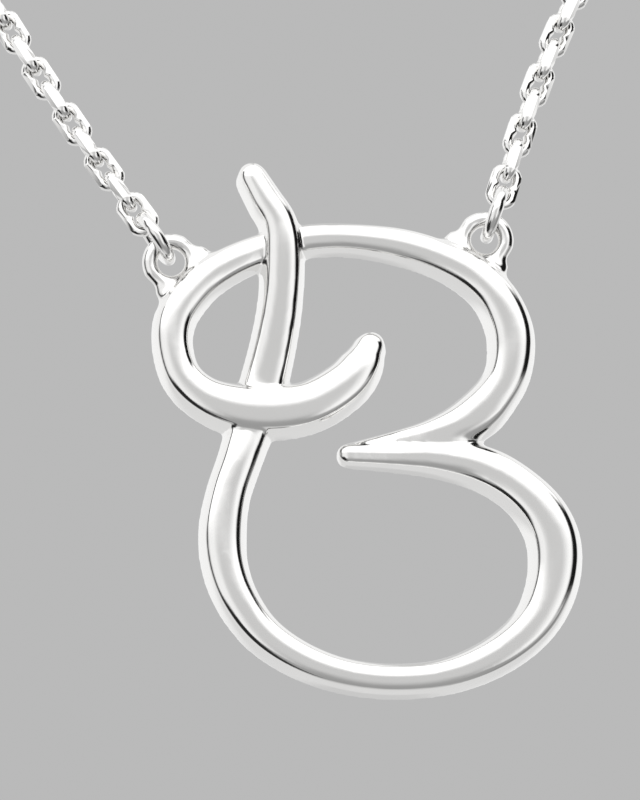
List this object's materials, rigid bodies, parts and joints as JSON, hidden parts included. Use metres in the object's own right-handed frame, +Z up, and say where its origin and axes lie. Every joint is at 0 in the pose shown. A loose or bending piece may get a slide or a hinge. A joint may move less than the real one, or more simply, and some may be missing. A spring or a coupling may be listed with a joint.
{
  "type": "initial pendant necklace",
  "caption": "Script letter pendant of two domed brush-like strokes, let into a fine cable chain by two soldered eyelets, with a spring ring clasp at the nape.",
  "frame": {"origin": "middle of the necklace's back stretch, at the clasp, where it lies on the nape", "axes": "+Z up, -Y the way the letter faces, +X the letter's right as it is read"},
  "size_m": [0.1138, 0.1147, 0.1423],
  "materials": {
    "letter": "cast silver, mirror polished",
    "rings": "drawn silver wire, polished",
    "chain": "silver wire, diamond cut and polished",
    "clasp": "silver, polished"
  },
  "bodies": {
    "chain": {"left_jump_ring": "rings", "right_jump_ring": "rings", "left_links": "chain", "right_links": "chain", "left_run": "chain", "right_run": "chain", "clasp": "clasp", "end_ring": "rings"},
    "letter": {"letter": "letter"}
  },
  "joints": [
    {"name": "letter_swing", "type": "hinge", "parent": "chain", "child": "letter", "pos_m": [0.00143, -0.112, -0.12109], "axis": [0.9965, 0, 0.0834], "range_deg": [-60, 60]}
  ]
}
